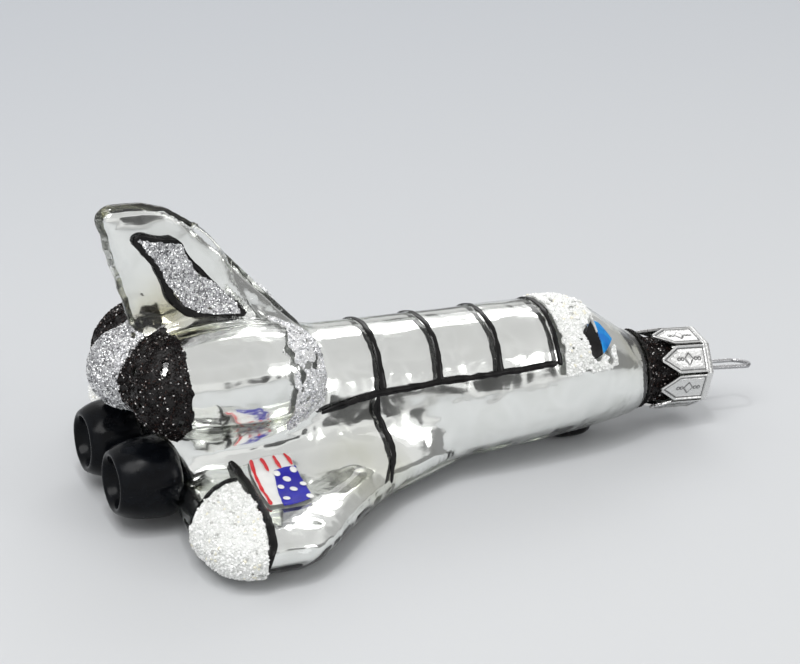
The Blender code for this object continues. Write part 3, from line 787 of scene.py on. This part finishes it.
silverCrust = dict(bed=silverBed, flakes=silverFlakes, slot="silver_glitter", rise=0.30, lumps=0.12,
                   perSquare=26.0, small=0.7, large=1.45, tilt=58, chunky=False, flake=0.125)
frostCrust = {**silverCrust, "bed": frostBed, "flakes": frostFlakes, "lumps": 0.20, "tilt": 65,
              "flake": 0.15}
blackCrust = dict(bed=blackBed, flakes=blackFlakes, slot="black_glitter", rise=0.30, lumps=0.14,
                  perSquare=28.0, small=0.7, large=1.4, tilt=65, chunky=False, flake=0.12)
whiteCrust = dict(bed=whiteBed, flakes=whiteCrystals, slot="white_glitter", rise=0.35, lumps=0.22,
                  perSquare=9.0, small=0.5, large=1.6, tilt=180, chunky=True, flake=0.17)


def makeScatter():  # a Geometry Nodes group that strews one flake over a bed
    tree, source, sink = newGroup("strewFlakes", (
        ("Bed", "Geometry"), ("Flake", "Object"), ("Density", "Float"), ("Small", "Float"),
        ("Large", "Float"), ("Tilt", "Float"), ("Seed", "Int")), (("Flakes", "Geometry"),),
        "GeometryNodeTree")
    strew = add(tree, "GeometryNodeDistributePointsOnFaces", distribute_method="RANDOM")
    flake = add(tree, "GeometryNodeObjectInfo")
    size = add(tree, "FunctionNodeRandomValue", data_type="FLOAT")
    lean = add(tree, "FunctionNodeRandomValue", data_type="FLOAT_VECTOR")
    tone = add(tree, "FunctionNodeRandomValue", data_type="FLOAT")
    place = add(tree, "GeometryNodeInstanceOnPoints")
    turn = add(tree, "GeometryNodeRotateInstances")
    store = add(tree, "GeometryNodeStoreNamedAttribute", {"Name": "tone"}, data_type="FLOAT",
                domain="INSTANCE")
    real = add(tree, "GeometryNodeRealizeInstances")
    most = add(tree, "ShaderNodeCombineXYZ", {"Z": math.pi})
    least = add(tree, "ShaderNodeVectorMath", {1: (-1, -1, -1)}, operation="MULTIPLY")
    link(tree, (source, "Bed", strew, "Mesh"), (source, "Density", strew, "Density"),
         (source, "Seed", strew, "Seed"), (source, "Flake", flake, "Object"),
         (source, "Small", size, 2), (source, "Large", size, 3), (source, "Tilt", most, "X"),
         (source, "Tilt", most, "Y"), (most, 0, least, 0), (least, 0, lean, 0), (most, 0, lean, 1),
         (source, "Seed", lean, "Seed"), (strew, "Points", place, "Points"),
         (flake, "Geometry", place, "Instance"), (strew, "Rotation", place, "Rotation"),
         (size, 1, place, "Scale"), (place, "Instances", turn, "Instances"),
         (lean, 0, turn, "Rotation"), (turn, "Instances", store, "Geometry"),
         (tone, 1, store, "Value"), (store, "Geometry", real, "Geometry"),
         (real, "Geometry", sink, "Flakes"))
    return tree


scatter = makeScatter()


def makeFlake(look):  # one thin five-sided flake, or one chunky crystal
    random.seed(5)
    if look["chunky"]:
        bpy.ops.mesh.primitive_ico_sphere_add(subdivisions=1, radius=look["flake"] * mm)
    else:
        bpy.ops.mesh.primitive_cone_add(vertices=5, radius1=look["flake"] * mm, depth=0.03 * mm)
    flake = newest("flake")
    for vertex in flake.data.vertices:
        if look["chunky"]:
            vertex.co *= random.uniform(0.7, 1.25)
        else:
            vertex.co.x *= 1.15
    return flake


bedLook = dict(margin=1.5 * mm, reach=0.45, grain=1.3 * mm, paneGap=0.20 * mm, lip=0.3, lift=0.03 * mm,
               rounds=4)
noseEdge = dict(ridge=79.2, side=2.6, sideFrom=(3.5, 7.0), low=1.6, lowFrom=(8.0, 10.0))


def noseLimit(across):  # how far forward the nose crust runs, by the distance from the ridge
    return (noseEdge["ridge"] + noseEdge["side"] * smoothStep(*noseEdge["sideFrom"], across)
            - noseEdge["low"] * smoothStep(*noseEdge["lowFrom"], across))


def bedFrom(name, node, ragged, seed):  # the glass's own faces under a CAD crust, with a ragged edge
    low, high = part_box(node)
    margin = Vector((1, 1, 1)) * bedLook["margin"]
    low, high = low - margin, high + margin
    solid = treeOf(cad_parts[node])
    onNose = node == "glitter_nose"
    panes = [treeOf(pane) for label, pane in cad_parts.items() if onNose and label.startswith("pane_")]
    work = bmesh.new()
    work.from_mesh(skin.data)
    unwanted = []
    for face in work.faces:
        middle = face.calc_center_median()
        inside = all(low[k] < middle[k] < high[k] for k in range(3))
        reach = solid.find_nearest(middle)[3] if inside else 1.0
        shake = noise.noise(middle / bedLook["grain"] + Vector((seed, 0, 0)))
        edge = (bedLook["reach"] + ragged * shake) * mm
        past = (middle.x - at(noseLimit(abs(middle.y / mm)), 0, 0).x) / mm
        ahead = onNose and past > edge / mm - bedLook["lip"]
        if reach > edge or ahead or any(pane.find_nearest(middle)[3] < bedLook["paneGap"]
                                        for pane in panes):
            unwanted.append(face)
    bmesh.ops.delete(work, geom=unwanted, context="FACES")
    border = [v for v in work.verts if v.is_boundary]
    for _ in range(bedLook["rounds"]):
        bmesh.ops.smooth_vert(work, verts=border, factor=0.5, use_axis_x=True, use_axis_y=True,
                              use_axis_z=True)
    for vertex in work.verts:
        vertex.co += vertex.normal * bedLook["lift"]
    mesh = bpy.data.meshes.new(name)
    work.to_mesh(mesh)
    work.free()
    piece = bpy.data.objects.new(name, mesh)
    bpy.context.scene.collection.objects.link(piece)
    return piece


def crust(name, node, look, seed, ragged=0.35):
    bed = bedFrom(f"{name}Bed", node, ragged, seed)
    top = duplicate(bed, f"{name}Flakes")
    pushOut(top, lambda place: mm * (look["rise"] + look["lumps"] * noise.noise(
        place / (0.9 * mm) + Vector((seed * 2.3, 1, 0)))))
    apply(bed, "SOLIDIFY", thickness=look["rise"] * mm, offset=1.0)
    outwards(bed)
    smoothShade(bed, 60)
    dress(bed, look["bed"], look["slot"], "glass", node)
    flake = makeFlake(look)
    only(top)
    strew = top.modifiers.new("strew", "NODES")
    strew.node_group = scatter
    for label, value in (("Flake", flake), ("Density", look["perSquare"] / mm ** 2),
                         ("Small", look["small"]), ("Large", look["large"]),
                         ("Tilt", math.radians(look["tilt"])), ("Seed", seed)):
        socket = next(s for s in scatter.interface.items_tree if s.name == label and s.in_out == "INPUT")
        strew[socket.identifier] = value
    bpy.ops.object.modifier_apply(modifier=strew.name)
    bpy.data.objects.remove(flake)
    dress(top, look["flakes"], look["slot"], "glass")
    return top


crusts = [("engineTop", "glitter_engine_top", silverCrust, 0.2),
          ("neckBand", "glitter_neck", blackCrust, 0.2),
          ("noseCrust", "glitter_nose", whiteCrust, 0.5)]
for side, sign in sides:
    crusts += [(f"podEnd_{side}_", f"glitter_pod_end_{side}", blackCrust, 0.35),
               (f"podFront_{side}_", f"glitter_pod_front_{side}", frostCrust, 0.55),
               (f"wingtip_{side}_", f"glitter_wingtip_{side}", whiteCrust, 0.2),
               (f"finPanel_{side}_", f"glitter_fin_{side}", silverCrust, 0.25)]
for number, (crustName, node, crustLook, ragged) in enumerate(crusts, 1):
    made = crust(crustName, node, crustLook, number, ragged)
    print(crustName, len(made.data.polygons), "faces")
print("glitter ready")

# Engine cups and wheel bumps


def ringUp(name, steps, rings, levels=2):
    # a round form drawn ring by ring along x: (x, radius) in millimetres, with both ends closed
    x0, r0 = rings[0]
    bpy.ops.mesh.primitive_circle_add(vertices=steps, radius=r0 * mm, rotation=(0, math.pi / 2, 0),
                                      location=(x0 * mm, 0, 0), fill_type="NGON")
    form = newest(name)
    settle(form)
    editAll(form)
    for (xa, ra), (xb, rb) in zip(rings, rings[1:]):
        bpy.ops.mesh.extrude_region_move(TRANSFORM_OT_translate={"value": ((xb - xa) * mm, 0, 0)})
        bpy.ops.transform.resize(value=(1, rb / ra, rb / ra))
    leaveEdit()
    outwards(form)
    apply(form, "SUBSURF", levels=levels, render_levels=levels)
    return form


def makeCups():
    cups = dict(y=7.0, z=7.2, steps=32, squash=0.96)
    rings = ((9.4, 3.0), (9.0, 5.2), (8.4, 6.0), (7.4, 6.35), (5.4, 6.45), (3.2, 6.2), (1.4, 5.75),
             (0.3, 5.2), (-0.45, 4.75), (-0.5, 4.2), (-0.1, 3.85), (1.0, 3.55), (1.75, 3.1),
             (1.9, 1.6), (1.95, 0.4))
    for side, sign in sides:
        cup = ringUp(f"engineCup_{side}", cups["steps"], rings)
        wave(cup, 0.10 * mm, 3.2 * mm, sign * 4)
        for vertex in cup.data.vertices:
            vertex.co.z *= cups["squash"]
        cup.data.transform(Matrix.Translation(at(0, sign * cups["y"], cups["z"])))
        smoothShade(cup, 70)
        dress(cup, cupEnamel, "black_enamel", "glass", f"engine_cup_{side}")


def makeWheels():
    wheels = (("nose_wheel", 78.0, 0.0, 4.2, 3.6, 2.3), ("main_wheel_left", 25.0, 13.5, 3.6, 2.2, 1.6),
              ("main_wheel_right", 25.0, -13.5, 3.6, 2.2, 1.6))
    fullness = 2.8  # 2 would be an ellipsoid
    for node, x, y, half, width, height in wheels:
        bpy.ops.mesh.primitive_uv_sphere_add(segments=40, ring_count=20, radius=mm)
        bump = newest("bump_" + node)
        for vertex in bump.data.vertices:
            out = vertex.co / mm
            out /= sum(abs(value) ** fullness for value in out) ** (1 / fullness)
            vertex.co = at(x + half * out.x, y + width * out.y, height + height * out.z)
        smoothShade(bump, 70)
        dress(bump, blackEnamel, "black_enamel", "glass", node)


makeCups()
makeWheels()
print("cups and wheels ready")

# Petal cap and wire loop, on the neck's drooping axis

neckBase = (89.6, 0.0, 9.3)
neckTilt = math.radians(4.5)
capLook = dict(end=12.1, radius=6.1, sheet=0.36, skirt=1.5, bend=1.0, petals=8, slit=0.22, length=9.7,
               point=3.0, turn=-14.5, flare=0.22, rows=112, columns=40)
wireLook = dict(thick=0.7, spacing=3.4, reach=10.4, loop=2.4, turn=12.0)


def neckAt(along, across, rise):  # millimetres from the neck's base
    c, s = math.cos(neckTilt), math.sin(neckTilt)
    return at(neckBase[0] + along * c + rise * s, across, neckBase[2] - along * s + rise * c)


def metalMaterial(name, colour, grooveShadeAndMottle, rough):
    material, tree, shader = newMaterial(name, Metallic=1.0)
    # painted shade: the groove attribute darkens the colour in the cap's pressed grooves and round its
    # motif; grain mottles it a little
    grooveShade = add(tree, "ShaderNodeAttribute", attribute_name="groove")
    grain = add(tree, "ShaderNodeTexNoise", {"Scale": 2600.0, "Detail": 3.0})
    ownPlace(tree, grain)
    shade = add(tree, "ShaderNodeMath", {1: 0.25, 2: 0.0}, operation="MULTIPLY_ADD")
    link(tree, (grain, "Fac", shade, 0), (grooveShade, "Fac", shade, 2))
    tone = ramp(tree, shade.outputs[0], ((0.12, colour), (0.75, grooveShadeAndMottle)))
    tree.links.new(tone, shader.inputs["Base Color"])
    roughen(tree, grain, "Fac", shader, rough, rough + 0.18)
    bumpFrom(tree, grain.outputs["Fac"], shader, 0.09 * mm, 0.9)
    return material


# The pressed pattern: place, width and height of the border's ridge, groove and rim, then the lozenge
reliefLook = dict(fromBend=1.25, pointShare=0.78, centre=4.7,
                  border=((0.22, 0.15, 0.13), (0.50, 0.10, -0.07), (0.74, 0.10, 0.07)),
                  beads=(-1.9, -1.25, 1.25, 1.9), bead=0.10,
                  lozenge=0.85, motifHeight=0.15)


def petalRelief(depth, across, width):  # height of the pattern, and its painted shade: how deep in a groove or close round the motif the place lies
    look = reliefLook
    atPoint = depth > capLook["length"] - capLook["point"]
    share = look["pointShare"] if atPoint else 1.0
    fromEdge = min((width - abs(across)) * share, depth - look["fromBend"])
    lines = [math.exp(-((fromEdge - spot) / wide) ** 2) for spot, wide, _ in look["border"]]
    down = depth - look["centre"]
    bead = max(math.exp(-((down - c) ** 2 + (across * 1.1) ** 2) / look["bead"]) for c in look["beads"])
    star = math.exp(-((abs(down) + abs(across) * 0.85) / look["lozenge"]) ** 4)
    motif = max(bead * 0.8, star)
    around = smoothStep(0.10, 0.35, motif) * (1 - smoothStep(0.45, 0.75, motif))
    height = sum(line * row[2] for line, row in zip(lines, look["border"]))
    # the second value is painted shade, darkest in the groove and in the ring round the motif
    return height + look["motifHeight"] * motif, min(1.0, 0.75 * lines[1] + 0.7 * around)


def makePetal():
    # one sector of the cap, from the middle of its end disc, round the bend and down to the petal's point
    radius, bend, length, point = (capLook[k] for k in ("radius", "bend", "length", "point"))
    half = radius * math.tan(math.pi / capLook["petals"])
    flat, arc = radius - bend, bend * math.pi / 2
    bpy.ops.mesh.primitive_grid_add(x_subdivisions=capLook["rows"], y_subdivisions=capLook["columns"],
                                    size=2)
    petal = newest("petal")
    # painted shade: how far each point lies in a groove or round the motif, kept for darkening the metal
    # there
    marks = petal.data.attributes.new("groove", "FLOAT", "POINT")
    for index, vertex in enumerate(petal.data.vertices):
        run = 0.02 + (vertex.co.x + 1) / 2 * (flat + arc + length - bend)
        lift = grooveShade = 0.0
        if run < flat:
            out, depth = run, 0.0
        elif run < flat + arc:
            angle = (run - flat) / bend
            out, depth = flat + bend * math.sin(angle), bend * (1 - math.cos(angle))
        else:
            out, depth = radius, bend + run - flat - arc
        width = half * out / radius
        if depth > capLook["skirt"]:
            width -= capLook["slit"]
        width *= 1 - 0.86 * max(0.0, depth - (length - point)) / point
        across = vertex.co.y * width
        if depth >= bend:
            lift, grooveShade = petalRelief(depth, across, width)
            lift += capLook["flare"] * smoothStep(0.55, 1.0, depth / length)
        marks.data[index].value = grooveShade
        vertex.co = Vector((out + lift, across, -depth)) * mm
    apply(petal, "SOLIDIFY", thickness=capLook["sheet"] * mm, offset=-1.0)
    return petal


def makeCap():
    petal = makePetal()
    petals = []
    for number in range(capLook["petals"]):
        leaf = duplicate(petal, f"petal{number}")
        turn = math.radians(capLook["turn"]) + (number + 0.5) * 2 * math.pi / capLook["petals"]
        leaf.data.transform(Matrix.Rotation(turn, 4, "Z"))
        petals.append(leaf)
    bpy.data.objects.remove(petal)
    cap = join(petals, "petalCap")
    across = Vector((0, 1, 0))
    out = (neckAt(1, 0, 0) - neckAt(0, 0, 0)).normalized()
    rise = out.cross(across)
    basis = Matrix((across, rise, out)).transposed().to_4x4()
    cap.data.transform(Matrix.Translation(neckAt(capLook["end"], 0, 0)) @ basis)
    outwards(cap)
    smoothShade(cap, 40)
    # the second colour is painted shade in the pressed grooves
    tin = metalMaterial("pressedTin", (0.74, 0.74, 0.73), (0.14, 0.14, 0.14), 0.22)
    dress(cap, tin, "cap_metal", "cap", "petal_cap")


def makeWire():
    leg, end = wireLook["spacing"] / 2, capLook["end"]
    centre = end + wireLook["reach"] - wireLook["loop"] - wireLook["thick"] / 2
    route = [(end - 12.0, -2.9), (end - 9.0, -2.7), (end - 5.5, -leg - 0.3),
             (end - 3.5, -leg), (end + 1.0, -leg), (end + 3.0, -leg - 0.35)]
    angles = [math.radians(turn) for turn in range(-75, 76, 15)]
    arc = [(centre + wireLook["loop"] * math.cos(a), wireLook["loop"] * math.sin(a)) for a in angles]
    points = route + arc + [(a, -b) for a, b in reversed(route)]
    c, s = math.cos(math.radians(wireLook["turn"])), math.sin(math.radians(wireLook["turn"]))
    path = alongCurve([(a, b * c, -b * s) for a, b in points], 0.3, False)
    wire, spline = plainCurve("hangerLoop", len(path))
    for knot, p in zip(spline.points, path):
        knot.co = (*neckAt(p[0], p[1], p[2]), 1)
    wire = roundBar(wire, "hangerLoop", wireLook["thick"], 3)
    outwards(wire)
    smoothShade(wire, 60)
    dress(wire, metalMaterial("springWire", (0.42, 0.42, 0.43), (0.20, 0.20, 0.20), 0.20), "hanger_wire",
          "hanger", "hanger_wire")


makeCap()
makeWire()
print("cap and wire ready")
